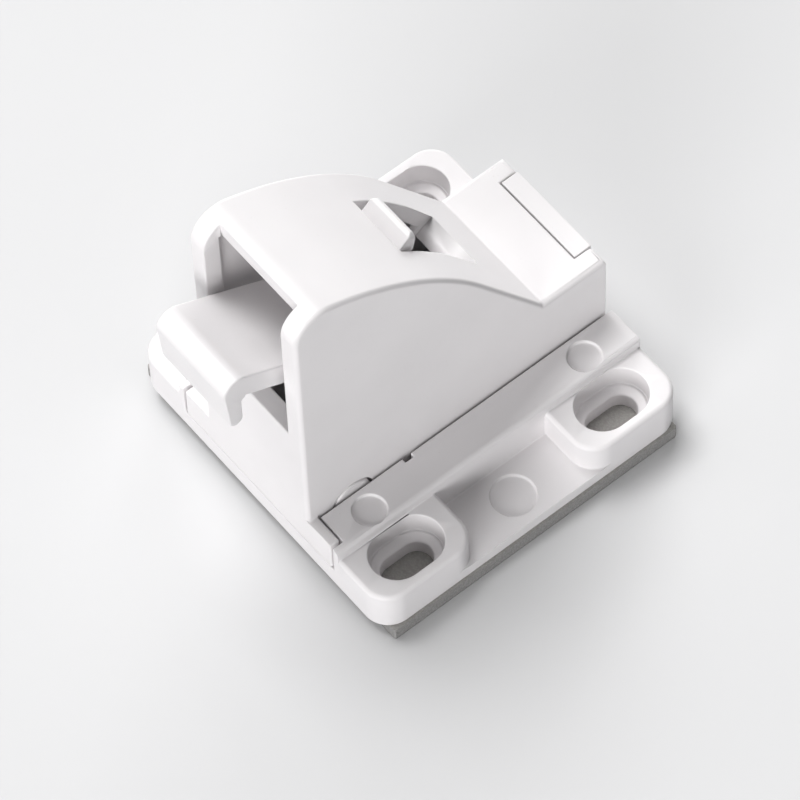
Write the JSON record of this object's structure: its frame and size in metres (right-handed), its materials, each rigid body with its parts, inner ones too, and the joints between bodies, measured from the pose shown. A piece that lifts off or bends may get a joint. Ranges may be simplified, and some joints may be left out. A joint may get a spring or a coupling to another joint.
{
  "type": "cabinet safety lock",
  "caption": "Cabinet safety lock: an arched housing with a sprung magnetic hook lever and a slide switch, on a base plate with slotted screw feet and an adhesive pad.",
  "frame": {"origin": "centre of the adhesive pad's lower face, which lies on the mounting surface", "axes": "+Z away from the mounting surface, -X out of the mouth past the hook, Y across the base plate"},
  "size_m": [0.0533, 0.047, 0.0521],
  "materials": {
    "foam": "matt closed-cell foam",
    "white_plastic": "fine satin moulded",
    "steel": "drawn",
    "magnet": "plated"
  },
  "bodies": {
    "lock_body": {"adhesive_pad": "foam", "base_plate": "white_plastic", "housing": "white_plastic", "rear_cover": "white_plastic", "pivot_pin": "steel", "return_spring": "steel"},
    "latch": {"latch_lever": "white_plastic", "latch_magnet": "magnet", "magnet_cap": "white_plastic"},
    "switch": {"switch_slider": "white_plastic"}
  },
  "joints": [
    {"name": "latch_pivot", "type": "hinge", "parent": "lock_body", "child": "latch", "pos_m": [-0.0079, 0, 0.0265], "axis": [0, 1, 0], "range_deg": [0, 9], "stiffness_Nm_per_rad": 0.02, "springref_deg": -20.05, "deforming": ["return_spring"]},
    {"name": "switch_slide", "type": "slide", "parent": "lock_body", "child": "switch", "axis": [-0.6884, 0, 0.7254], "range_m": [-0.0036, 0]}
  ]
}
